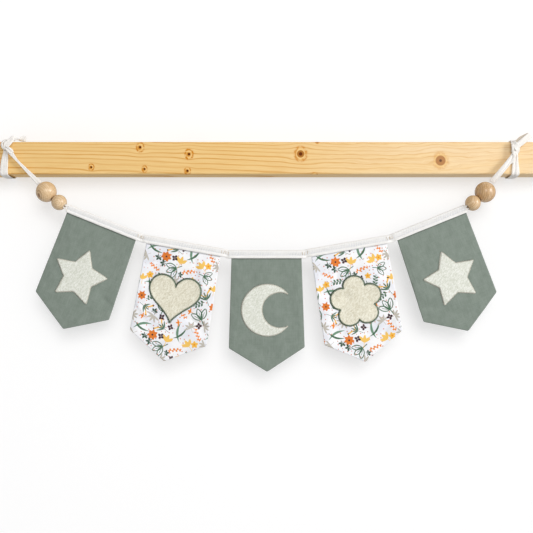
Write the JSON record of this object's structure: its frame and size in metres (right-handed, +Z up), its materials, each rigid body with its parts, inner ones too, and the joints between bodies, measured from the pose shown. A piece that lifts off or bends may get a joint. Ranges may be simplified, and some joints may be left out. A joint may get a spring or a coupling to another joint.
{
  "type": "fabric bunting on a wooden rail",
  "caption": "Fabric bunting of pointed cotton pennants with felt motifs, hung from a folded tape that is threaded with wooden beads and tied round a square wooden rail.",
  "frame": {"origin": "centre of the rail's back face, where it meets what holds it up", "axes": "+X along the rail to the viewer's right, +Y out of the rail's back towards the wall, +Z up"},
  "size_m": [0.66, 0.0572, 0.2784],
  "materials": {
    "rail_wood": "planed pine, thin satin varnish",
    "bead_wood": "turned and sanded, bare",
    "tape_cotton": "folded cotton tape, stitched",
    "sage_cotton": "plain weave cotton, turned and pressed",
    "print_cotton": "printed cotton, turned and pressed",
    "cream_felt": "soft wool felt"
  },
  "bodies": {
    "root": {"rail": "rail_wood", "tape": "tape_cotton", "pennant_sage_left": "sage_cotton", "pennant_print_left": "print_cotton", "pennant_sage_middle": "sage_cotton", "pennant_print_right": "print_cotton", "pennant_sage_right": "sage_cotton", "applique_star_left": "cream_felt", "applique_heart": "cream_felt", "applique_moon": "cream_felt", "applique_blossom": "cream_felt", "applique_star_right": "cream_felt", "bead_left_large": "bead_wood", "bead_left_small": "bead_wood", "bead_right_large": "bead_wood", "bead_right_small": "bead_wood"}
  },
  "joints": []
}
